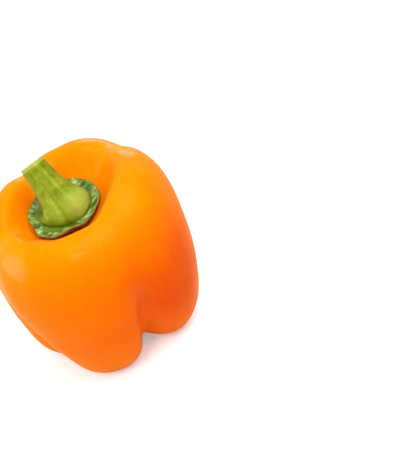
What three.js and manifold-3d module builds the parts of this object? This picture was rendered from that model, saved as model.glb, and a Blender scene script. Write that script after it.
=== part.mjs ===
// A bell pepper in three pieces: the four-lobed fruit, the green calyx in its top hollow and the cut stem.
// Millimetres, +Z up. The fruit stands upright on the small flat spots under its lobes, at z = 0,
// and the Z axis runs through the middle of the hollow that holds the calyx.
// Azimuths are in degrees from +X towards +Y, and 270 is the front.

import * as THREE from 'three';
import { mergeVertices } from 'three/addons/utils/BufferGeometryUtils.js';
import Module from 'manifold-3d';

// ---- driving dimensions ----

const ringSegments = 72;       // points round a ring of the fruit
const outlineSteps = 46;       // steps down the fruit's outline
const touchGap = 0.3;          // air between pieces that touch

const fruit = {
  // half outline as [radius, height]: hollow floor, shoulder, side, foot of the lobe, bottom hollow
  outline: [
    [0, 70], [8, 70.2], [14, 71.8], [18.8, 77.3], [25, 82], [32.5, 80], [38.5, 73.5], [41, 63],
    [40.5, 51], [38.5, 38], [35.5, 25], [32, 13], [26.5, 3.5], [19, 0], [12.5, 3], [7, 7.5], [0, 9],
  ],
  // how far each lobe swells at its shoulder and at its base, how much its shoulder is raised and
  // how much its foot hangs down; they stand in the order of their azimuths
  lobes: [
    { azimuth: 57, shoulder: 1.035, base: 1.04, lift: -0.1, drop: 0.05 },
    { azimuth: 167, shoulder: 0.825, base: 1.06, lift: -1.7, drop: -0.2 },
    { azimuth: 259, shoulder: 0.95, base: 1.04, lift: -1.6, drop: 0.9 },
    { azimuth: 341, shoulder: 0.97, base: 1.24, lift: 2.6, drop: 0.9 },
  ],
  // the furrows between the lobes, with their depth at the shoulder, on the side and at the base,
  // and half their width at the base in degrees
  furrows: [
    { top: 199, bottom: 221, depths: [4.3, 2.2, 10.5], spread: 10 },
    { top: 300, bottom: 303, depths: [1.6, 2.2, 11.5], spread: 17 },
    { top: 45, bottom: 25, depths: [3.4, 1.8, 7.5], spread: 14.5 },
    { top: 116, bottom: 116, depths: [4.8, 1.8, 7.5], spread: 12 },
    { top: 90, bottom: 90, depths: [1.9, 0, 0], spread: 13 },       // a faint dent in the back lobe's shoulder
    { top: 224, bottom: 224, depths: [2.4, 0, 0], spread: 13 },     // and one in the front lobe's
  ],
  restDepth: 1.6,              // how far the rounded feet are cut off flat
  waist: 80,                   // height over which the swelling turns from base to shoulder
  heart: new THREE.Vector2(4, 34),          // [radius, height] that the lower furrows point to
};

const calyx = {
  // the sepals' blunt corners as [azimuth, radius], with straight edges between them
  corners: [
    [9, 14], [41, 14.2], [74, 14.6], [112, 14.2], [150, 13.7], [187, 14], [228, 15.8], [250, 16], [302, 14],
  ],
  seatRadius: 10.3,            // flat middle that carries the stem
  seatHeight: 71.2,
  rimHeight: 73,
  rimThickness: 1.3,
  rimTilt: 0.04,               // rise of the rim per millimetre towards the back
};

const stem = {
  footRadius: 9.9,
  footHeight: 1.2,
  neckRadius: 5.9,
  tipRadius: 4.6,
  length: 20.5,
  ribs: 5,
  ribDepth: 0.25,
  lean: new THREE.Vector3(-6.5, 9.7, 17),   // from the middle of the foot to the middle of the cut
  cutSlope: 0.12,              // how far the cut is off square
};

// ---- small helpers ----

const { clamp, degToRad, euclideanModulo, lerp, radToDeg, smoothstep } = THREE.MathUtils;

// angle from b to a, between -pi and pi
function turnBetween(a, b) {
  return euclideanModulo(a - b + Math.PI, 2 * Math.PI) - Math.PI;
}

// eased value at x of a list of [x, value] stops
function easeThrough(stops, x) {
  const next = stops.findIndex(([at]) => at > x);
  if (next < 0) return stops.at(-1)[1];
  if (next === 0) return stops[0][1];
  const [[x0, v0], [x1, v1]] = [stops[next - 1], stops[next]];
  return lerp(v0, v1, smoothstep(x, x0, x1));
}

function outlinePoints(pairs) {
  return pairs.map(([radius, height]) => new THREE.Vector2(radius, height));
}

// turns a half outline, listed from the bottom up, about Z; shapePoint gives each vertex its place
// from its angle and its step along the outline
function turned(outline, segments, shapePoint) {
  const geometry = new THREE.LatheGeometry(outline, segments);
  const position = geometry.attributes.position;
  for (let i = 0; i < position.count; i += 1) {
    const step = i % outline.length;
    const segment = Math.floor(i / outline.length) % segments;
    const point = shapePoint((2 * Math.PI * segment) / segments, step);
    position.setXYZ(i, point.x, point.y, point.z);
  }
  return geometry;
}

// ---- fruit ----

// a lobe's value at any azimuth, eased from each lobe to the next
function lobeValue(azimuth, key) {
  const stops = fruit.lobes.map((lobe) => [lobe.azimuth, lobe[key]]);
  const before = [stops.at(-1)[0] - 360, stops.at(-1)[1]];
  const after = [stops[0][0] + 360, stops[0][1]];
  return easeThrough([before, ...stops, after], azimuth);
}

// how deep the furrows run at an azimuth, a fraction of the way down the outline
function furrowDepth(angle, fraction) {
  return fruit.furrows.reduce((sum, { top, bottom, depths, spread }) => {
    const [shoulder, side, base] = depths;
    const widths = [[0, 22], [0.1, 20], [0.22, 13], [0.5, 13], [0.8, spread], [1, 25]];
    const halfWidth = degToRad(easeThrough(widths, fraction));
    const depth = easeThrough([[0, 0], [0.2, shoulder], [0.4, side], [0.8, base], [1, 0]], fraction);
    const azimuth = easeThrough([[0.2, top], [0.8, bottom]], fraction);
    const across = turnBetween(angle, degToRad(azimuth)) / halfWidth;
    return sum + depth / (1 + across * across) ** 1.2;
  }, 0);
}

function makeFruit() {
  const curve = new THREE.SplineCurve(outlinePoints(fruit.outline));
  const outline = curve.getSpacedPoints(outlineSteps).reverse();
  const lastStep = outline.length - 1;
  return turned(outline, ringSegments, (angle, step) => {
    const { x: radius, y: height } = outline[step];
    const before = outline[Math.max(step - 1, 0)];
    const after = outline[Math.min(step + 1, lastStep)];
    // furrows sink square to the surface above and towards the heart of the fruit below
    const square = new THREE.Vector2(before.y - after.y, after.x - before.x).normalize();
    const inwards = fruit.heart.clone().sub(outline[step]).normalize();
    inwards.lerp(square, smoothstep(height, 15, 60)).normalize();
    const furrow = furrowDepth(angle, 1 - step / lastStep);
    const azimuth = radToDeg(angle);
    const upwards = smoothstep(height, 0, fruit.waist);
    const growth = lerp(lobeValue(azimuth, 'base'), lobeValue(azimuth, 'shoulder'), upwards);
    const swell = lerp(1, growth, smoothstep(radius, 8, 26));
    const offAxis = clamp((radius - 9) / 12, 0, 1);
    const raise = offAxis * lobeValue(azimuth, 'lift') * clamp((height - 20) / 60, 0, 1);
    const fall = offAxis * lobeValue(azimuth, 'drop') * clamp(1 - height / 40, 0, 1);
    const r = radius > 0 ? radius * swell + furrow * inwards.x : 0;
    const z = height + raise - fall + furrow * inwards.y - fruit.restDepth;
    return new THREE.Vector3(r * Math.cos(angle), r * Math.sin(angle), Math.max(z, 0));
  });
}

// ---- calyx ----

// distance from the axis to the calyx's edge at an azimuth, on the straight line between two corners
function rimRadius(azimuth) {
  const { corners } = calyx;
  const next = corners.findIndex(([at]) => at > azimuth);
  const [[a0, r0], [a1, r1]] = next > 0 ? [corners[next - 1], corners[next]] : [corners.at(-1), corners[0]];
  const before = turnBetween(degToRad(azimuth), degToRad(a0));
  const after = turnBetween(degToRad(a1), degToRad(azimuth));
  return (r0 * r1 * Math.sin(before + after)) / (r0 * Math.sin(before) + r1 * Math.sin(after));
}

function makeCalyx() {
  const { seatRadius, seatHeight, rimHeight, rimThickness, rimTilt } = calyx;
  const radius = 13.5;         // of the round outline, before its edge is drawn out to the corners
  const outline = outlinePoints([
    [0, seatHeight - 5], [seatRadius, seatHeight - 3], [radius - 2, rimHeight - 1.6 - rimThickness],
    [radius - 0.2, rimHeight - rimThickness], [radius, rimHeight - 0.4], [radius - 0.4, rimHeight],
    [radius - 1.2, rimHeight - 0.3], [seatRadius + 1.6, seatHeight + 0.4], [seatRadius, seatHeight],
    [0, seatHeight],
  ]);
  return turned(outline, ringSegments, (angle, step) => {
    const { x: r, y: z } = outline[step];
    const outwards = smoothstep(r, seatRadius, radius);
    const reach = r + outwards * (rimRadius(radToDeg(angle)) - radius);
    const wave = outwards * (rimTilt * reach * Math.sin(angle) + 0.3 * Math.sin(5 * angle + 0.6));
    return new THREE.Vector3(reach * Math.cos(angle), reach * Math.sin(angle), z + wave);
  });
}

// ---- stem ----

function makeStem() {
  const { footRadius, footHeight, neckRadius, tipRadius, length, ribs, ribDepth, lean, cutSlope } = stem;
  const outline = outlinePoints([
    [0, 0], [footRadius - 0.5, 0], [footRadius, 0.5], [footRadius - 0.1, footHeight], [footRadius - 1.1, 2.4],
    [footRadius - 2.1, 4.2], [neckRadius + 0.3, 7], [neckRadius - 0.1, 10], [neckRadius - 0.6, 13.5],
    [tipRadius + 0.1, 17.5], [tipRadius, length - 0.2], [tipRadius - 0.3, length], [0, length],
  ]);
  const foot = new THREE.Vector3(0, 0, calyx.seatHeight + touchGap);
  const bend = new THREE.Vector3(0.2 * lean.x, 0.2 * lean.y, 0.3 * lean.z).add(foot);
  const axis = new THREE.QuadraticBezierCurve3(foot, bend, foot.clone().add(lean));
  const upright = new THREE.Vector3(0, 0, 1);
  return turned(outline, 40, (angle, step) => {
    const { x: radius, y: height } = outline[step];
    const share = height / length;
    const flare = smoothstep(height, footHeight, 8);
    const r = radius + (radius > 0 ? flare * ribDepth * Math.cos(ribs * angle + 0.5) : 0);
    const across = new THREE.Vector3(r * Math.cos(angle), r * Math.sin(angle), 0);
    across.z = cutSlope * across.x * share * share;
    const tilt = new THREE.Quaternion().setFromUnitVectors(upright, axis.getTangentAt(share));
    const leaning = new THREE.Quaternion().slerp(tilt, flare);
    return across.applyQuaternion(leaning).add(axis.getPointAt(share));
  });
}

// ---- joining ----

const wasm = await Module();
wasm.setup();

// a closed geometry as a solid: only position is kept, so that shared vertices merge
function solidFrom(geometry) {
  const bare = new THREE.BufferGeometry();
  bare.setIndex(geometry.index);
  bare.setAttribute('position', geometry.attributes.position);
  const merged = mergeVertices(bare, 1e-3);
  const vertProperties = merged.attributes.position.array;
  const triVerts = new Uint32Array(merged.index.array);
  return new wasm.Manifold(new wasm.Mesh({ numProp: 3, vertProperties, triVerts }));
}

function geometryFrom(solid) {
  const { vertProperties, triVerts } = solid.getMesh();
  const geometry = new THREE.BufferGeometry();
  geometry.setIndex(new THREE.BufferAttribute(triVerts, 1));
  geometry.setAttribute('position', new THREE.BufferAttribute(vertProperties, 3));
  geometry.computeVertexNormals();
  return geometry;
}

function named(name, geometry, color, roughness) {
  const mesh = new THREE.Mesh(geometry, new THREE.MeshStandardMaterial({ color, roughness, metalness: 0 }));
  mesh.name = name;
  return mesh;
}

const fruitSolid = solidFrom(makeFruit());
// the calyx lies on the hollow's floor, a touching gap above it
const calyxSolid = solidFrom(makeCalyx()).subtract(fruitSolid.translate([0, 0, touchGap + 0.05]));
const stemSolid = solidFrom(makeStem());

const pepper = new THREE.Group();
pepper.add(
  named('fruit', geometryFrom(fruitSolid), 0xfe8502, 0.28),
  named('calyx', geometryFrom(calyxSolid), 0x4c6a16, 0.55),
  named('stem', geometryFrom(stemSolid), 0xa3b02c, 0.6),
);

// the origin is the middle of the bottom of the whole object's box
const box = new THREE.Box3().setFromObject(pepper, true);
const middle = box.getCenter(new THREE.Vector3());
pepper.position.set(-middle.x, -middle.y, -box.min.z);

export default pepper;
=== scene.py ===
import math

import bmesh
import bpy
from mathutils import Matrix, Vector


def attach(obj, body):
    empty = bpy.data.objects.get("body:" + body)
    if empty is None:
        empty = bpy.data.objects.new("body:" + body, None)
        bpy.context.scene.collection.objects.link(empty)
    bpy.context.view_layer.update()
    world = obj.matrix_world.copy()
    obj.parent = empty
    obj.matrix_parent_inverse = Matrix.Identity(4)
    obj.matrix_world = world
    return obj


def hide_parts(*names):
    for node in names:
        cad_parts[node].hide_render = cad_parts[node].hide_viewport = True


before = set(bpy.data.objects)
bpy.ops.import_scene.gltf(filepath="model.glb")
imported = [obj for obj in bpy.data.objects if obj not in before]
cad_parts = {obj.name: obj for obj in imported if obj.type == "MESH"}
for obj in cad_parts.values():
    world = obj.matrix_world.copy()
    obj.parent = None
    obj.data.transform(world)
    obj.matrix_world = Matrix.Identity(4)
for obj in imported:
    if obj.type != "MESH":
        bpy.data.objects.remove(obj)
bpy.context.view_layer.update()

mm = 0.001
coreAt = Vector((-3.02, -0.75, 0)) * mm     # foot of the core line, up through the middle of the hollow


def up(height):
    return Vector((0, 0, height * mm))


def outward(azimuth):
    return Vector((math.cos(math.radians(azimuth)), math.sin(math.radians(azimuth)), 0))


def offAzimuth(place, azimuth):
    # degrees between a place and an azimuth
    turn = math.degrees(math.atan2(place.y, place.x)) - azimuth
    return abs((turn + 180) % 360 - 180)


def awayFromCore(place):
    return math.hypot(place.x, place.y)


def clearPick():
    if bpy.context.mode != "OBJECT":
        bpy.ops.object.mode_set(mode="OBJECT")
    bpy.ops.object.select_all(action="DESELECT")


def makeActive(piece):
    clearPick()
    piece.select_set(True)
    bpy.context.view_layer.objects.active = piece


def openForEdit(piece):
    makeActive(piece)
    bpy.ops.object.mode_set(mode="EDIT")
    bpy.ops.mesh.select_mode(type="VERT")


def pickVerts(piece, wanted):
    # picks the points whose place, measured from the core line, passes the test
    bpy.ops.mesh.select_all(action="DESELECT")
    cage = bmesh.from_edit_mesh(piece.data)
    for vert in cage.verts:
        vert.select = bool(wanted(vert.co - coreAt))
    cage.select_flush_mode()
    bmesh.update_edit_mesh(piece.data)


def pull(move, reach, falloff="SMOOTH"):
    # drags what is picked, and softly with it what lies within reach
    bpy.ops.transform.translate(value=move, use_proportional_edit=True, use_proportional_connected=True,
                                proportional_edit_falloff=falloff, proportional_size=reach)


def useModifier(piece, kind, **settings):
    # adds a modifier with its settings and applies it
    modifier = piece.modifiers.new(kind.lower(), kind)
    for name, value in settings.items():
        setattr(modifier, name, value)
    makeActive(piece)
    bpy.ops.object.modifier_apply(modifier=modifier.name)


def addCrinkle(piece, name, size, strength):
    # soft random unevenness; size and strength in mm
    pattern = bpy.data.textures.new(name, "CLOUDS")
    pattern.noise_scale = size * mm
    pattern.noise_depth = 2
    useModifier(piece, "DISPLACE", texture=pattern, texture_coords="LOCAL", strength=strength * mm,
                mid_level=0.5)


def extrudeRings(around, rings):
    # a circle at the first (radius, height), drawn ring by ring through the others
    radius, height = rings[0]
    bpy.ops.mesh.primitive_circle_add(vertices=around, radius=radius * mm, location=coreAt + up(height))
    piece = bpy.context.active_object
    bpy.ops.object.transform_apply(location=True)
    openForEdit(piece)
    bpy.ops.mesh.select_all(action="SELECT")
    for nextRadius, nextHeight in rings[1:]:
        rise = (nextHeight - height) * mm
        bpy.ops.mesh.extrude_edges_move(TRANSFORM_OT_translate={"value": (0, 0, rise)})
        grow = nextRadius / radius
        bpy.ops.transform.resize(value=(grow, grow, 1), center_override=coreAt)
        radius, height = nextRadius, nextHeight
    return piece


def closeEnds(piece, firstHeight, lastHeight):
    # each open end is drawn in to one point on the core line
    for height in (firstHeight, lastHeight):
        bpy.ops.mesh.select_all(action="DESELECT")
        cage = bmesh.from_edit_mesh(piece.data)
        for edge in cage.edges:
            if edge.is_boundary and abs(edge.verts[0].co.z - height * mm) < 0.05 * mm:
                edge.select = True
        bmesh.update_edit_mesh(piece.data)
        bpy.ops.mesh.select_mode(type="EDGE")
        bpy.ops.mesh.extrude_edges_move()
        bpy.ops.mesh.merge(type="CENTER")
        bpy.ops.mesh.select_mode(type="VERT")
    bpy.ops.mesh.select_all(action="SELECT")
    bpy.ops.mesh.normals_make_consistent(inside=False)


def settle(piece):
    # moves the piece down or up until its lowest point stands on the floor
    openForEdit(piece)
    bpy.ops.mesh.select_all(action="SELECT")
    lowest = min(vert.co.z for vert in bmesh.from_edit_mesh(piece.data).verts)
    bpy.ops.transform.translate(value=(0, 0, -lowest))
    clearPick()


def keepPlace(piece):
    # every point remembers where it stands now, for its material's patterns, however it is bent later
    straight = piece.data.attributes.new("straight", "FLOAT_VECTOR", "POINT")
    for vert, spot in zip(piece.data.vertices, straight.data):
        spot.vector = vert.co - coreAt


def mergedCopy(nodeName):
    # the CAD node's loose triangles as one merged surface
    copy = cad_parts[nodeName].copy()
    copy.data = copy.data.copy()
    copy.parent = None
    bpy.context.collection.objects.link(copy)
    openForEdit(copy)
    bpy.ops.mesh.select_all(action="SELECT")
    bpy.ops.mesh.remove_doubles(threshold=0.01 * mm)
    clearPick()
    return copy


def wrapOnto(piece, nodeName):
    # lays the cage on the CAD surface; each smoothing evens out its spacing and the facets
    guide = mergedCopy(nodeName)
    for factor, iterations in ((0.5, 4), (0.5, 4), (0.5, 4), (0.3, 1)):
        useModifier(piece, "SHRINKWRAP", target=guide, wrap_method="NEAREST_SURFACEPOINT")
        useModifier(piece, "SMOOTH", factor=factor, iterations=iterations)
    bpy.data.objects.remove(guide)


def paint(code):
    # an sRGB hex colour as the linear one that a socket wants
    parts = [int(code[start:start + 2], 16) / 255 for start in (1, 3, 5)]
    linear = [part / 12.92 if part <= 0.04045 else ((part + 0.055) / 1.055) ** 2.4 for part in parts]
    return tuple(linear + [1])


def addNode(tree, kind, settings=None, inputs=None, stops=None):
    # settings are the node's own choices; an input takes a value or another node's output;
    # stops fill a colour ramp
    node = tree.nodes.new("ShaderNode" + kind)
    for name, value in (settings or {}).items():
        setattr(node, name, value)
    for name, value in (inputs or {}).items():
        if isinstance(value, bpy.types.NodeSocket):
            tree.links.new(value, node.inputs[name])
        else:
            node.inputs[name].default_value = value
    for number, (at, code) in enumerate(stops or []):
        points = node.color_ramp.elements
        point = points[number] if number < len(points) else points.new(at)
        point.position = at
        point.color = paint(code)
    return node


def newMaterial(name, piece):
    # a fresh material on the piece: its node tree and its surface shader
    material = bpy.data.materials.new(name)
    material.use_nodes = True
    piece.data.materials.clear()
    piece.data.materials.append(material)
    return material.node_tree, material.node_tree.nodes["Principled BSDF"]


def grain(size):
    # noise scale that gives features of about this many mm
    return 1 / (size * mm)


noiseLow, noiseHigh = 0.3, 0.7      # nearly all of a noise pattern lies between these
noHeight = (1, 1, 0)                # times a place, leaves out its height


# in the pieces' dictionaries lengths are in mm, azimuths in degrees from +X, and radii from the core line
fruitSettings = {
    "around": 48,               # corners of each ring of the first rough shape
    # radius and height of each ring, from the floor of the top hollow over the shoulder and
    # down to the bottom hollow
    "rings": [(3, 68.4), (6, 68.5), (9.5, 68.8), (13.5, 70.3), (17, 73.8), (20.5, 77.8), (25, 80.3),
              (30, 79.8), (35, 76.4), (38.8, 70.5), (40.6, 62), (40.6, 53), (40, 44.5), (38.6, 36.5),
              (36.8, 29), (34.8, 21.5), (32.4, 14.5), (29.4, 8), (25.5, 2.9), (20, 0.2), (14.5, 0.8),
              (9.5, 4.2), (6, 6.6), (3, 7.3)],
    # azimuth of each lobe, how far its shoulder and its foot are drawn out and its shoulder raised
    "lobes": [(57, 1.2, 1.3, -0.1), (167, -6.5, 1.8, -1.7), (259, -2, 1.3, -1.6), (341, -1.2, 7, 2.6)],
    "lobeWidth": 8,             # degrees to each side that are drawn out with it
    "shoulder": (50, 28, 30),   # above this height, beyond this radius, pulled with this reach
    "foot": (25, 22, 26),       # below this height, beyond this radius, pulled with this reach
    # azimuth of each furrow at the shoulder and at the foot, its depth at the shoulder, side and foot
    "furrows": [(199, 221, 4.3, 2.2, 9), (300, 303, 1.6, 2.2, 10), (45, 25, 3.4, 1.8, 6.5),
                (116, 116, 4.8, 1.8, 6.5)],
    "furrowWidth": 4,           # degrees to each side
    "crest": (74, 15, 12),      # the shoulder's crest: above this height, beyond this radius, reach
    "furrowSide": (24, 72, 8),  # a furrow is pressed into the side from this height to this, this far apart
    "sideReach": 11,
    "furrowFoot": [(15, 32), (6, 27), (1, 20)],     # height and radius of each place pressed at the foot
    "footShare": 0.8,           # share of the foot's depth that each of them takes
    "footReach": 12,
    "heart": 34,                # height on the core line that the lower furrows point to
    "pressSpan": 5,             # half height of the patch that one press picks, and its radius at the foot
    # fine creases: azimuth at the top and at the bottom, the heights between, depth and half width
    "creases": [(299, 304, 56, 8, 1.3, 9), (301, 304, 48, 8, 1.2, 4.5), (327, 322, 62, 30, 0.35, 7),
                (214, 222, 44, 8, 0.7, 4), (37, 27, 46, 8, 0.7, 4.5), (116, 116, 50, 8, 0.8, 4.5),
                (272, 276, 58, 26, 0.3, 7), (8, 2, 60, 26, 0.4, 7), (72, 76, 60, 20, 0.4, 7),
                (148, 152, 58, 22, 0.35, 7), (184, 190, 54, 20, 0.4, 6)],
    "creaseStep": 4,            # distance between two presses along a crease
    "creasePick": 2.6,          # degrees to each side that one press picks
    # azimuth, radius and reach of a place on the wall of the top hollow, and how far it bulges up
    "fullness": (219, 19, 9, 1.5),
    "fullPick": (12, 2),        # degrees to each side and mm in and out that are picked there
    "swells": (14, 0.7),        # width and height of the flesh's soft unevenness

    # from the reddest skin, low on the side with painted shade, to the yellowest on the shoulders, which
    # are painted lighter as if lit from above
    "colours": [(0, "#d84000"), (0.3, "#ea5a00"), (0.6, "#f87800"), (0.8, "#fb8200"), (1, "#ff9400")],
    # painted light: the skin turns yellower with height, as the top catches more light
    "paintedTopLight": (35, 82, 0.62, 0.86),  # between these heights the colour goes from this share to this
    "driftSize": 26,            # width of the patches in which the colour drifts
    "drift": 0.07,              # and how far
    "shadedSide": (345, 0.36),     # azimuth of the side with painted shade, made redder and darker, and how far its colour shifts
    "shadeReach": (4, 38),        # it sets in this far out from the core line and is full this far out
    "shadeHeight": (52, 80),      # full up to this height, gone at this one
    "yellowFoot": 0.26,         # how far the colour shifts back at the foot
    "footHeight": (6, 36),      # full up to this height, gone at this one
    "streaks": (3, 0.12, 0.035),        # width, narrowing along the height, and shift of the streaks
    "flecks": (2.4, 0.14, "#ffb437"),   # distance, strength and colour of the tiny pale flecks
    "scar": (2.1, 2.5, "#8a5a2c"),      # the flower's scar fades out between these radii; its colour
    "roughness": (0.16, 0.26),
    "tint": "#ffd88c",          # of the gloss
}


def drawLobes(piece, look):
    width = look["lobeWidth"]
    above, shoulderRadius, shoulderReach = look["shoulder"]
    below, footRadius, footReach = look["foot"]
    for azimuth, shoulderPull, footPull, lift in look["lobes"]:
        pickVerts(piece, lambda p: offAzimuth(p, azimuth) < width and p.z > above * mm
                  and awayFromCore(p) > shoulderRadius * mm)
        pull(outward(azimuth) * shoulderPull * mm + up(lift), shoulderReach * mm)
        pickVerts(piece, lambda p: offAzimuth(p, azimuth) < width and p.z < below * mm
                  and awayFromCore(p) > footRadius * mm)
        pull(outward(azimuth) * footPull * mm, footReach * mm)


def pressFurrows(piece, look):
    width = look["furrowWidth"]
    span = look["pressSpan"] * mm
    crestHeight, crestRadius, crestReach = look["crest"]
    lowest, highest, apart = look["furrowSide"]
    heart = up(look["heart"])
    for top, bottom, shoulderDepth, sideDepth, footDepth in look["furrows"]:
        pickVerts(piece, lambda p: offAzimuth(p, top) < width and p.z > crestHeight * mm
                  and awayFromCore(p) > crestRadius * mm)
        pull(up(-shoulderDepth), crestReach * mm)
        for height in range(lowest, highest, apart):
            azimuth = top + (bottom - top) * (highest - height) / (highest - lowest)
            pickVerts(piece, lambda p: offAzimuth(p, azimuth) < width and abs(p.z - height * mm) < span)
            pull(outward(azimuth) * -sideDepth * mm, look["sideReach"] * mm)
        for height, radius in look["furrowFoot"]:
            start = outward(bottom) * radius * mm + up(height)
            pickVerts(piece, lambda p: (p - start).length < span)
            pull((heart - start).normalized() * footDepth * look["footShare"] * mm, look["footReach"] * mm)


def pressCreases(piece, look):
    width = look["creasePick"]
    apart = look["creaseStep"]
    for top, bottom, high, low, depth, reach in look["creases"]:
        steps = round((high - low) / apart)
        for step in range(steps + 1):
            share = step / steps
            level = (high + (low - high) * share) * mm
            azimuth = top + (bottom - top) * share
            fade = math.sin(math.pi * (0.15 + 0.7 * share))     # shallower towards both ends
            pickVerts(piece, lambda p: offAzimuth(p, azimuth) < width
                      and abs(p.z - level) < apart / 2 * mm)
            if piece.data.total_vert_sel:
                pull(outward(azimuth) * -depth * fade * mm, reach * mm)


def fillHollow(piece, look):
    azimuth, radius, reach, rise = look["fullness"]
    width, depth = look["fullPick"]
    above = look["shoulder"][0]
    pickVerts(piece, lambda p: offAzimuth(p, azimuth) < width and p.z > above * mm
              and abs(awayFromCore(p) - radius * mm) < depth * mm)
    pull(up(rise), reach * mm)


def modelFruit(look):
    piece = extrudeRings(look["around"], look["rings"])
    closeEnds(piece, look["rings"][0][1], look["rings"][-1][1])
    drawLobes(piece, look)
    pressFurrows(piece, look)
    clearPick()
    useModifier(piece, "SUBSURF", levels=1, render_levels=1)
    wrapOnto(piece, "fruit")
    openForEdit(piece)
    pressCreases(piece, look)
    fillHollow(piece, look)
    clearPick()
    addCrinkle(piece, "fleshSwells", *look["swells"])
    useModifier(piece, "SUBSURF", levels=1, render_levels=1)
    useModifier(piece, "SMOOTH", factor=0.5, iterations=3)
    settle(piece)
    bpy.ops.object.shade_smooth()
    piece.name = "pepper_fruit"
    print("fruit modelled:", len(piece.data.polygons), "faces")
    return piece


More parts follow.
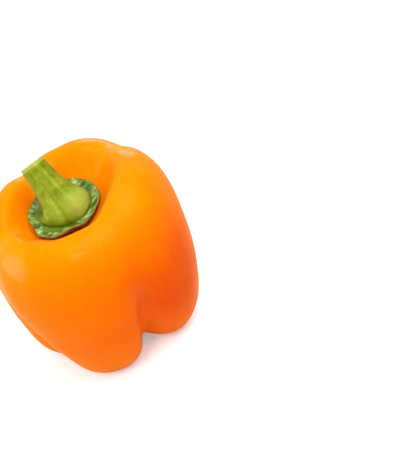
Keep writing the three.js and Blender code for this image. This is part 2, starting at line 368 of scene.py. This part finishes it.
def waxySkin(look, piece):
    # pepper skin: thin and waxy, clear over bright orange flesh, so it shines softly and glows a little
    tree, surface = newMaterial("waxySkin", piece)
    place = addNode(tree, "TexCoord").outputs["Object"]
    split = addNode(tree, "SeparateXYZ", {}, {"Vector": place})
    core = addNode(tree, "VectorMath", {"operation": "SUBTRACT"}, {0: place, 1: coreAt})

    # the colour's place on the ramp: yellower with height, painted light on the top, drifting in patches,
    # with lengthwise streaks
    low, high, lowShare, highShare = look["paintedTopLight"]
    height = addNode(tree, "MapRange", {}, {"Value": split.outputs["Z"], "From Min": low * mm,
                                            "From Max": high * mm, "To Min": lowShare, "To Max": highShare})
    cloud = addNode(tree, "TexNoise", {}, {"Vector": place, "Scale": grain(look["driftSize"]), "Detail": 3,
                                           "Roughness": 0.5})
    shift = addNode(tree, "MapRange", {}, {"Value": cloud.outputs["Fac"], "From Min": noiseLow,
                                           "From Max": noiseHigh, "To Min": -look["drift"],
                                           "To Max": look["drift"]})
    streakSize, narrowing, streakShift = look["streaks"]
    stretched = addNode(tree, "VectorMath", {"operation": "MULTIPLY"}, {0: core.outputs[0],
                                                                       1: (1, 1, narrowing)})
    streaks = addNode(tree, "TexNoise", {}, {"Vector": stretched.outputs[0], "Scale": grain(streakSize),
                                             "Detail": 2, "Roughness": 0.55})
    thin = addNode(tree, "MapRange", {}, {"Value": streaks.outputs["Fac"], "From Min": noiseLow,
                                          "From Max": noiseHigh, "To Min": -streakShift,
                                          "To Max": streakShift})
    # painted shade: one side is redder and darker below its shoulder; every foot is yellower again
    azimuth, shadeShift = look["shadedSide"]
    redIn, redOut = look["shadeReach"]
    redFull, redGone = look["shadeHeight"]
    footFull, footGone = look["footHeight"]
    sided = addNode(tree, "VectorMath", {"operation": "DOT_PRODUCT"}, {0: core.outputs[0],
                                                                      1: outward(azimuth)})
    shadedSide = addNode(tree, "MapRange", {"interpolation_type": "SMOOTHSTEP"},
                      {"Value": sided.outputs["Value"], "From Min": redIn * mm, "From Max": redOut * mm})
    belowTop = addNode(tree, "MapRange", {"interpolation_type": "SMOOTHSTEP"},
                       {"Value": split.outputs["Z"], "From Min": redGone * mm, "From Max": redFull * mm,
                        "To Max": -shadeShift})
    paintedShade = addNode(tree, "Math", {"operation": "MULTIPLY"}, {0: shadedSide.outputs[0],
                                                              1: belowTop.outputs[0]})
    yellower = addNode(tree, "MapRange", {"interpolation_type": "SMOOTHSTEP"},
                       {"Value": split.outputs["Z"], "From Min": footGone * mm, "From Max": footFull * mm,
                        "To Max": look["yellowFoot"]})
    level = height
    for change in (shift, paintedShade, yellower, thin):
        level = addNode(tree, "Math", {"operation": "ADD"}, {0: level.outputs[0], 1: change.outputs[0]})
    flesh = addNode(tree, "ValToRGB", {}, {"Fac": level.outputs[0]}, look["colours"])

    # pale flecks, each a spot in the middle of its own cell
    fleckSize, fleckStrength, fleckColour = look["flecks"]
    cells = addNode(tree, "TexVoronoi", {}, {"Vector": place, "Scale": grain(fleckSize), "Randomness": 1})
    fleck = addNode(tree, "MapRange", {}, {"Value": cells.outputs["Distance"], "From Min": 0.05,
                                           "From Max": 0.16, "To Min": fleckStrength, "To Max": 0})
    flecked = addNode(tree, "Mix", {"data_type": "RGBA"}, {"Factor": fleck.outputs[0],
                                                           6: flesh.outputs["Color"],
                                                           7: paint(fleckColour)})

    # the brown scar that the flower left in the bottom hollow, with a ragged outline
    solidRadius, raggedRadius, scarColour = look["scar"]
    flat = addNode(tree, "VectorMath", {"operation": "MULTIPLY"}, {0: core.outputs[0], 1: noHeight})
    away = addNode(tree, "VectorMath", {"operation": "LENGTH"}, {0: flat.outputs[0]})
    ragged = addNode(tree, "TexNoise", {}, {"Vector": place, "Scale": grain(1.1), "Detail": 2})
    edge = addNode(tree, "Math", {"operation": "MULTIPLY_ADD"}, {0: ragged.outputs["Fac"], 1: 1.6 * mm,
                                                                2: away.outputs["Value"]})
    spot = addNode(tree, "MapRange", {}, {"Value": edge.outputs[0], "From Min": raggedRadius * mm,
                                          "From Max": solidRadius * mm})
    lowDown = addNode(tree, "MapRange", {}, {"Value": split.outputs["Z"], "From Min": 30 * mm,
                                             "From Max": 20 * mm})
    scar = addNode(tree, "Math", {"operation": "MULTIPLY"}, {0: spot.outputs[0], 1: lowDown.outputs[0]})
    scarred = addNode(tree, "Mix", {"data_type": "RGBA"}, {"Factor": scar.outputs[0],
                                                           6: flecked.outputs[2], 7: paint(scarColour)})
    tree.links.new(scarred.outputs[2], surface.inputs["Base Color"])

    # broad unevenness of the flesh below, the fine dimpling of the skin and the crust of the scar
    swells = addNode(tree, "TexNoise", {}, {"Vector": place, "Scale": grain(9), "Detail": 2,
                                            "Roughness": 0.45})
    dimples = addNode(tree, "TexNoise", {}, {"Vector": place, "Scale": grain(0.9), "Detail": 2})
    lumps = addNode(tree, "Bump", {}, {"Height": swells.outputs["Fac"], "Strength": 0.3,
                                       "Distance": 0.5 * mm})
    fine = addNode(tree, "Bump", {}, {"Height": dimples.outputs["Fac"], "Strength": 0.08,
                                      "Distance": 0.06 * mm, "Normal": lumps.outputs["Normal"]})
    crust = addNode(tree, "Bump", {}, {"Height": scar.outputs[0], "Strength": 0.8, "Distance": 0.4 * mm,
                                       "Normal": fine.outputs["Normal"]})
    tree.links.new(crust.outputs["Normal"], surface.inputs["Normal"])

    glossiest, dullest = look["roughness"]
    dull = addNode(tree, "MapRange", {}, {"Value": cloud.outputs["Fac"], "From Min": noiseLow,
                                          "From Max": noiseHigh, "To Min": glossiest, "To Max": dullest})
    rough = addNode(tree, "Mix", {}, {"Factor": scar.outputs[0], "A": dull.outputs[0], "B": 0.8})
    tree.links.new(rough.outputs[0], surface.inputs["Roughness"])
    # plant wax is about 1.45; less than that here, so that the white around doesn't wash out the orange
    surface.inputs["IOR"].default_value = 1.18
    surface.inputs["Specular Tint"].default_value = paint(look["tint"])
    surface.inputs["Subsurface Weight"].default_value = 0.15
    surface.inputs["Subsurface Radius"].default_value = (1, 0.35, 0.05)
    surface.inputs["Subsurface Scale"].default_value = 3 * mm


fruit = modelFruit(fruitSettings)
waxySkin(fruitSettings, fruit)
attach(fruit, "root")
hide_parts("fruit")


calyxSettings = {
    "around": 60,
    # radius and height of each ring, from under the middle out to the rim and back to the stem's seat
    "rings": [(4, 69), (8, 69), (11, 69.5), (12.4, 70.4), (13.1, 71.4), (13.55, 72.3), (13.6, 72.85),
              (13.35, 73.1), (12.9, 73.05), (12.3, 72.75), (11.6, 72.35), (10.9, 72.05), (10.3, 71.85),
              (9.6, 71.7), (4, 71.6)],
    # azimuth of each blunt corner of the rim, and its distance from the core line
    "corners": [(9, 14.1), (41, 14.3), (74, 14.8), (112, 14.3), (150, 13.8), (187, 14.2), (228, 16),
                (250, 16.3), (302, 14.2)],
    "cornerWidth": 3.5,         # degrees to each side
    "roundRim": 13.2,           # radius of the rim that the corners are drawn out of
    "cornerPick": (12, 6),      # beyond this radius, pulled with this reach
    "veins": (-0.1, 0.35),      # rise of the tissue towards a corner, every other one higher
    "veinPick": (71.3, 10.4, 3.5),      # above this height, beyond this radius, pulled with this reach
    "crinkle": (4, 1.08),       # width and height of the lumps in the leaf tissue
    "grit": (1.5, 0.405),       # and of the small ones

    "seam": "#5c7014",          # where the stem stands; it fades out between these radii
    "seamRadius": (10.1, 10.6),
    "inside": [(0.36, "#1f3404"), (0.46, "#4c660e"), (0.53, "#72882c"), (0.64, "#b2c080")],
    "edge": "#7c6a2c",
    "edgeRadius": (13.3, 13.55),
    "underside": [(0.35, "#4a2410"), (0.55, "#6c4a16"), (0.7, "#55661a")],
    "backRadius": (12.9, 13),   # the back of the sepals begins outside this and below these heights
    "backHeight": (72.7, 73),
    "deepHeight": (70.9, 71.05),
}


def modelCalyx(look):
    piece = extrudeRings(look["around"], look["rings"])
    closeEnds(piece, look["rings"][0][1], look["rings"][-1][1])
    clearPick()
    keepPlace(piece)
    openForEdit(piece)
    width = look["cornerWidth"]
    rimRadius, rimReach = look["cornerPick"]
    veinHeight, veinRadius, veinReach = look["veinPick"]
    for number, (azimuth, radius) in enumerate(look["corners"]):
        pickVerts(piece, lambda p: offAzimuth(p, azimuth) < width and awayFromCore(p) > rimRadius * mm)
        pull(outward(azimuth) * (radius - look["roundRim"]) * mm, rimReach * mm, "LINEAR")
        pickVerts(piece, lambda p: offAzimuth(p, azimuth) < width and p.z > veinHeight * mm
                  and awayFromCore(p) > veinRadius * mm)
        pull(up(look["veins"][number % 2]), veinReach * mm)
    clearPick()
    useModifier(piece, "SUBSURF", levels=2, render_levels=2)
    addCrinkle(piece, "leafCrinkle", *look["crinkle"])
    addCrinkle(piece, "leafGrain", *look["grit"])
    bpy.ops.object.shade_smooth()
    piece.name = "pepper_calyx"
    print("calyx modelled:", len(piece.data.polygons), "faces")
    return piece


def sepalTissue(look, piece):
    # sepals: matt fleshy leaf tissue, mottled green inside, with a dry tan edge and a brown back
    tree, surface = newMaterial("sepalTissue", piece)
    place = addNode(tree, "Attribute", {"attribute_name": "straight"}).outputs["Vector"]
    split = addNode(tree, "SeparateXYZ", {}, {"Vector": place})
    flat = addNode(tree, "VectorMath", {"operation": "MULTIPLY"}, {0: place, 1: noHeight})
    away = addNode(tree, "VectorMath", {"operation": "LENGTH"}, {0: flat.outputs[0]})

    # mottling drawn out a little along each radius
    bearing = addNode(tree, "VectorMath", {"operation": "NORMALIZE"}, {0: flat.outputs[0]})
    spokes = addNode(tree, "VectorMath", {"operation": "MULTIPLY_ADD"}, {0: bearing.outputs[0],
                                                                       1: (4 * mm, 4 * mm, 0),
                                                                       2: flat.outputs[0]})
    patches = addNode(tree, "TexNoise", {}, {"Vector": spokes.outputs[0], "Scale": grain(4.5), "Detail": 5,
                                             "Roughness": 0.68})
    ragged = addNode(tree, "TexNoise", {}, {"Vector": place, "Scale": grain(1), "Detail": 3})
    inside = addNode(tree, "ValToRGB", {}, {"Fac": patches.outputs["Fac"]}, look["inside"])
    under = addNode(tree, "ValToRGB", {}, {"Fac": patches.outputs["Fac"]}, look["underside"])

    seamIn, seamOut = look["seamRadius"]
    seam = addNode(tree, "MapRange", {}, {"Value": away.outputs["Value"], "From Min": seamOut * mm,
                                          "From Max": seamIn * mm})
    seamed = addNode(tree, "Mix", {"data_type": "RGBA"}, {"Factor": seam.outputs[0],
                                                          6: inside.outputs["Color"],
                                                          7: paint(look["seam"])})
    edgeIn, edgeOut = look["edgeRadius"]
    rough = addNode(tree, "Math", {"operation": "MULTIPLY_ADD"}, {0: ragged.outputs["Fac"], 1: 0.5 * mm,
                                                                 2: away.outputs["Value"]})
    rim = addNode(tree, "MapRange", {}, {"Value": rough.outputs[0], "From Min": edgeIn * mm,
                                         "From Max": edgeOut * mm})
    edged = addNode(tree, "Mix", {"data_type": "RGBA"}, {"Factor": rim.outputs[0], 6: seamed.outputs[2],
                                                         7: paint(look["edge"])})

    # the back: outside and below the edge, and everything deep down
    backIn, backOut = look["backRadius"]
    backLow, backHigh = look["backHeight"]
    deepLow, deepHigh = look["deepHeight"]
    drop = addNode(tree, "Math", {"operation": "MULTIPLY_ADD"}, {0: ragged.outputs["Fac"], 1: 0.6 * mm,
                                                                2: split.outputs["Z"]})
    outer = addNode(tree, "MapRange", {}, {"Value": away.outputs["Value"], "From Min": backIn * mm,
                                           "From Max": backOut * mm})
    below = addNode(tree, "MapRange", {}, {"Value": drop.outputs[0], "From Min": backHigh * mm,
                                           "From Max": backLow * mm})
    back = addNode(tree, "Math", {"operation": "MULTIPLY"}, {0: outer.outputs[0], 1: below.outputs[0]})
    deep = addNode(tree, "MapRange", {}, {"Value": split.outputs["Z"], "From Min": deepHigh * mm,
                                          "From Max": deepLow * mm})
    backs = addNode(tree, "Math", {"operation": "MAXIMUM"}, {0: back.outputs[0], 1: deep.outputs[0]})
    colour = addNode(tree, "Mix", {"data_type": "RGBA"}, {"Factor": backs.outputs[0], 6: edged.outputs[2],
                                                          7: under.outputs["Color"]})
    tree.links.new(colour.outputs[2], surface.inputs["Base Color"])

    bumps = addNode(tree, "Bump", {}, {"Height": patches.outputs["Fac"], "Strength": 0.9,
                                       "Distance": 0.7 * mm})
    grit = addNode(tree, "Bump", {}, {"Height": ragged.outputs["Fac"], "Strength": 0.5,
                                      "Distance": 0.2 * mm, "Normal": bumps.outputs["Normal"]})
    tree.links.new(grit.outputs["Normal"], surface.inputs["Normal"])
    surface.inputs["Roughness"].default_value = 0.5
    surface.inputs["IOR"].default_value = 1.4


calyx = modelCalyx(calyxSettings)
sepalTissue(calyxSettings, calyx)


stemSettings = {
    "around": 40,
    "footHeight": 71.5,         # where the foot stands
    # radius and height above the foot of each ring, from under the foot up the flare to the cut
    # and over its face
    "rings": [(5, 0), (9.7, 0), (10.3, 0.3), (10.45, 0.9), (10, 1.6), (9.2, 2.6), (8.05, 4), (7.1, 5.8),
              (6.4, 8), (5.9, 10.5), (5.55, 13), (5.25, 15.5), (5, 18), (4.85, 20.4), (4.75, 20.85),
              (4.4, 21), (3.7, 20.75), (2.4, 20.6), (1.2, 20.6)],
    "ribs": [20, 85, 150, 222, 296],        # azimuths
    "ribSpan": (3, 20, 2),                  # they run between these heights, raised this far apart
    "ribPick": (5, 1.2, 1.5),               # degrees to each side, half height and reach of each raise
    "ribHeight": 0.35,
    "bendAt": [0.9, 1.6, 2.6, 4],           # heights at which the stem turns a little further over
    "bendEach": 9.7,                        # degrees
    "leanAzimuth": 123.8,
    "bumps": (1.6, 0.3),                    # width and height of the bark's unevenness

    "skin": [(0.3, "#5f6c06"), (0.45, "#76850e"), (0.56, "#8f9c20"), (0.7, "#aeb752")],
    "foot": [(0.3, "#587204"), (0.5, "#72890c"), (0.7, "#9db040")],
    "footSkin": (72.5, 76),                 # the foot's colour fades out between these heights
    # painted highlight: a paler patch on the lit side of the foot
    "litPatch": "#a2b64a",
    "litPatchAzimuth": 335,
    "litPatchHeight": (74, 77.5),
    "lip": "#b9c264",
    "lipHeight": (90.8, 91.3),
    # the cut face, from its middle outwards
    "cut": [(0, "#d9deb0"), (0.34, "#c3d084"), (0.45, "#86a82a"), (0.8, "#6f9a18"), (0.93, "#5f8214"),
            (1, "#a3a258")],
    "cutRadius": 4.5,
    "cutHeight": 92,
}


def leanOver(piece, look):
    # all that stands above each level is turned about the middle of that level's ring
    nearly = 0.02 * mm
    lean = outward(look["leanAzimuth"])
    turn = math.radians(look["bendEach"])
    openForEdit(piece)
    for height in look["bendAt"]:
        level = (look["footHeight"] + height) * mm
        bpy.ops.mesh.select_all(action="DESELECT")
        cage = bmesh.from_edit_mesh(piece.data)
        straight = cage.verts.layers.float_vector["straight"]
        ring = [vert.co for vert in cage.verts if abs(vert[straight].z - level) < nearly]
        hub = sum(ring, Vector()) / len(ring)
        for vert in cage.verts:
            vert.select = vert[straight].z > level - nearly
        cage.select_flush_mode()
        bmesh.update_edit_mesh(piece.data)
        bpy.ops.transform.rotate(value=turn * lean.y, orient_axis="X", center_override=hub)
        bpy.ops.transform.rotate(value=-turn * lean.x, orient_axis="Y", center_override=hub)


def raiseRibs(piece, look):
    lowest, highest, apart = look["ribSpan"]
    width, span, reach = look["ribPick"]
    for azimuth in look["ribs"]:
        for height in range(lowest, highest, apart):
            level = (look["footHeight"] + height) * mm
            pickVerts(piece, lambda p: offAzimuth(p, azimuth) < width and abs(p.z - level) < span * mm)
            pull(outward(azimuth) * look["ribHeight"] * mm, reach * mm)


def modelStem(look):
    rings = [(radius, height + look["footHeight"]) for radius, height in look["rings"]]
    piece = extrudeRings(look["around"], rings)
    closeEnds(piece, rings[0][1], rings[-1][1])
    raiseRibs(piece, look)
    clearPick()
    keepPlace(piece)
    leanOver(piece, look)
    clearPick()
    useModifier(piece, "SUBSURF", levels=2, render_levels=2)
    addCrinkle(piece, "stalkBumps", *look["bumps"])
    bpy.ops.object.shade_smooth()
    piece.name = "pepper_stem"
    print("stem modelled:", len(piece.data.polygons), "faces")
    return piece


def stalkSkin(look, piece):
    # stalk bark: matt green with lengthwise fibres and fine bumps, and the pith shows in its cut end
    tree, surface = newMaterial("stalkSkin", piece)
    place = addNode(tree, "Attribute", {"attribute_name": "straight"}).outputs["Vector"]
    split = addNode(tree, "SeparateXYZ", {}, {"Vector": place})
    flat = addNode(tree, "VectorMath", {"operation": "MULTIPLY"}, {0: place, 1: noHeight})
    away = addNode(tree, "VectorMath", {"operation": "LENGTH"}, {0: flat.outputs[0]})
    bearing = addNode(tree, "VectorMath", {"operation": "NORMALIZE"}, {0: flat.outputs[0]})

    # fibres: noise on a cylinder of the stem's own thickness, drawn out along it
    along = addNode(tree, "CombineXYZ", {}, {"Z": split.outputs["Z"]})
    wound = addNode(tree, "VectorMath", {"operation": "MULTIPLY_ADD"}, {0: bearing.outputs[0],
                                                                      1: (6 * mm, 6 * mm, 0),
                                                                      2: along.outputs[0]})
    drawn = addNode(tree, "VectorMath", {"operation": "MULTIPLY"}, {0: wound.outputs[0], 1: (1, 1, 0.1)})
    fibres = addNode(tree, "TexNoise", {}, {"Vector": drawn.outputs[0], "Scale": grain(1.9), "Detail": 4,
                                            "Roughness": 0.6})
    mottle = addNode(tree, "TexNoise", {}, {"Vector": wound.outputs[0], "Scale": grain(3.4), "Detail": 5,
                                            "Roughness": 0.7})
    blend = addNode(tree, "Mix", {}, {"Factor": 0.62, "A": fibres.outputs["Fac"],
                                      "B": mottle.outputs["Fac"]})
    bark = addNode(tree, "ValToRGB", {}, {"Fac": blend.outputs[0]}, look["skin"])
    footBark = addNode(tree, "ValToRGB", {}, {"Fac": blend.outputs[0]}, look["foot"])
    footLow, footHigh = look["footSkin"]
    nearSeat = addNode(tree, "MapRange", {}, {"Value": split.outputs["Z"], "From Min": footHigh * mm,
                                              "From Max": footLow * mm})
    skin = addNode(tree, "Mix", {"data_type": "RGBA"}, {"Factor": nearSeat.outputs[0],
                                                        6: bark.outputs["Color"],
                                                        7: footBark.outputs["Color"]})

    # a paler patch on one side of the foot, a painted highlight where light falls on it, and a pale lip
    # round the cut
    facing = addNode(tree, "VectorMath", {"operation": "DOT_PRODUCT"},
                     {0: bearing.outputs[0], 1: outward(look["litPatchAzimuth"])})
    sideways = addNode(tree, "MapRange", {"interpolation_type": "SMOOTHSTEP"},
                       {"Value": facing.outputs["Value"], "From Min": 0.55, "From Max": 0.95,
                        "To Max": 0.75})
    patchLow, patchHigh = look["litPatchHeight"]
    nearFoot = addNode(tree, "MapRange", {"interpolation_type": "SMOOTHSTEP"},
                       {"Value": split.outputs["Z"], "From Min": patchHigh * mm,
                        "From Max": patchLow * mm})
    highlight = addNode(tree, "Math", {"operation": "MULTIPLY"}, {0: sideways.outputs[0],
                                                            1: nearFoot.outputs[0]})
    highlighted = addNode(tree, "Mix", {"data_type": "RGBA"}, {"Factor": highlight.outputs[0], 6: skin.outputs[2],
                                                           7: paint(look["litPatch"])})
    lipLow, lipHigh = look["lipHeight"]
    lip = addNode(tree, "MapRange", {}, {"Value": split.outputs["Z"], "From Min": lipLow * mm,
                                         "From Max": lipHigh * mm, "To Max": 0.6})
    lipped = addNode(tree, "Mix", {"data_type": "RGBA"}, {"Factor": lip.outputs[0], 6: highlighted.outputs[2],
                                                          7: paint(look["lip"])})

    # the cut face: pale pith, the woody ring and the bark's edge
    radius = look["cutRadius"]
    across = addNode(tree, "MapRange", {}, {"Value": away.outputs["Value"], "From Min": 0,
                                            "From Max": radius * mm})
    ringed = addNode(tree, "ValToRGB", {}, {"Fac": across.outputs[0]}, look["cut"])
    top = addNode(tree, "MapRange", {}, {"Value": split.outputs["Z"],
                                         "From Min": (look["cutHeight"] - 0.1) * mm,
                                         "From Max": look["cutHeight"] * mm})
    inner = addNode(tree, "MapRange", {}, {"Value": away.outputs["Value"], "From Min": radius * mm,
                                           "From Max": (radius - 0.15) * mm})
    face = addNode(tree, "Math", {"operation": "MULTIPLY"}, {0: top.outputs[0], 1: inner.outputs[0]})
    colour = addNode(tree, "Mix", {"data_type": "RGBA"}, {"Factor": face.outputs[0], 6: lipped.outputs[2],
                                                          7: ringed.outputs["Color"]})
    tree.links.new(colour.outputs[2], surface.inputs["Base Color"])

    grit = addNode(tree, "TexNoise", {}, {"Vector": place, "Scale": grain(0.7), "Detail": 3})
    ribs = addNode(tree, "Bump", {}, {"Height": blend.outputs[0], "Strength": 0.6, "Distance": 0.6 * mm})
    fine = addNode(tree, "Bump", {}, {"Height": grit.outputs["Fac"], "Strength": 0.5,
                                      "Distance": 0.2 * mm, "Normal": ribs.outputs["Normal"]})
    tree.links.new(fine.outputs["Normal"], surface.inputs["Normal"])
    surface.inputs["Roughness"].default_value = 0.55
    surface.inputs["IOR"].default_value = 1.35
    surface.inputs["Specular Tint"].default_value = paint("#e8f0a0")


stem = modelStem(stemSettings)
stalkSkin(stemSettings, stem)
for piece, node in ((calyx, "calyx"), (stem, "stem")):
    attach(piece, "root")
    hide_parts(node)


cameraSettings = {
    "lookDown": 44.3,               # degrees below level
    "roll": -17.6,                  # the pepper leans to the left in the view
    "lens": 70.9,
    "distance": 388,                # from the lens to the foot of the core line, along the view, mm
    "aside": (-0.0902, -0.1078),    # how far right and up that foot stands, as a share of the distance
    "footHeight": -1.1,
}


def makeCamera(look):
    down = math.radians(look["lookDown"])
    ahead = Vector((0, math.cos(down), -math.sin(down)))
    level = Vector((1, 0, 0))
    above = level.cross(ahead)
    turn = Matrix.Rotation(-math.radians(look["roll"]), 3, ahead)
    right, top = turn @ level, turn @ above
    away = look["distance"] * mm
    foot = coreAt + up(look["footHeight"])
    place = foot - (ahead + look["aside"][0] * right + look["aside"][1] * top) * away
    bpy.ops.object.camera_add(location=place)
    camera = bpy.context.active_object
    camera.rotation_euler = Matrix((right, top, -ahead)).transposed().to_euler()
    camera.data.lens = look["lens"]
    camera.data.clip_start = 0.01
    bpy.context.scene.camera = camera


makeCamera(cameraSettings)


studioSettings = {
    "surround": 0.36,           # strength of the white studio all round
    # direction, strength and softness in degrees of the wide light overhead
    "overhead": ((0.27, -0.02, 1.05), 2.95, 55),
    # place and size in metres and watts of each soft box: high in front, low on the left, low behind
    "boxes": [((-0.12, -0.55, 0.95), 0.25, 3.6), ((-0.75, 0.12, 0.14), 0.5, 3.8),
              ((0.16, 0.9, 0.16), 0.35, 1.1)],
    "aimHeight": 40,            # all of them point at this height on the pepper
    "floorColour": "#f0f0ef",
    "floorBounce": "#e0be84",   # what the floor throws back on the pepper
    "floorGlow": 0.32,          # lightens the shadow
}


def layFloor(look):
    bpy.ops.mesh.primitive_plane_add(size=6)
    floor = bpy.context.active_object
    floor.name = "studio_floor"
    tree, surface = newMaterial("whitePaper", floor)
    # seen directly the paper is white; the light that it throws back is weaker and warmer
    seen = addNode(tree, "LightPath").outputs["Is Camera Ray"]
    paper = addNode(tree, "Mix", {"data_type": "RGBA"}, {"Factor": seen, 6: paint(look["floorBounce"]),
                                                         7: paint(look["floorColour"])})
    glow = addNode(tree, "MapRange", {}, {"Value": seen, "To Min": 0, "To Max": look["floorGlow"]})
    tree.links.new(paper.outputs[2], surface.inputs["Base Color"])
    tree.links.new(glow.outputs[0], surface.inputs["Emission Strength"])
    surface.inputs["Emission Color"].default_value = (1, 1, 1, 1)
    surface.inputs["Roughness"].default_value = 0.9
    surface.inputs["Specular IOR Level"].default_value = 0


def aim(light, direction):
    light.rotation_euler = direction.to_track_quat("-Z", "Y").to_euler()


def hangLights(look):
    direction, strength, softness = look["overhead"]
    bpy.ops.object.light_add(type="SUN", location=direction)
    overhead = bpy.context.active_object
    aim(overhead, -Vector(direction))
    overhead.data.energy = strength
    overhead.data.angle = math.radians(softness)
    for place, size, watts in look["boxes"]:
        bpy.ops.object.light_add(type="AREA", location=place)
        light = bpy.context.active_object
        aim(light, up(look["aimHeight"]) - Vector(place))
        light.data.size = size
        light.data.energy = watts
        light.visible_camera = False


def paintWalls(look):
    world = bpy.data.worlds.new("softStudio")
    bpy.context.scene.world = world
    world.use_nodes = True
    wall = world.node_tree.nodes["Background"]
    wall.inputs["Color"].default_value = (1, 1, 1, 1)
    # seen directly the studio wall is white; as a light it is weaker
    path = addNode(world.node_tree, "LightPath")
    seen = addNode(world.node_tree, "MapRange", {}, {"Value": path.outputs["Is Camera Ray"],
                                                    "To Min": look["surround"], "To Max": 1})
    world.node_tree.links.new(seen.outputs[0], wall.inputs["Strength"])


clearPick()
layFloor(studioSettings)
hangLights(studioSettings)
paintWalls(studioSettings)
bpy.context.scene.view_settings.view_transform = "Standard"
print("camera and studio ready")
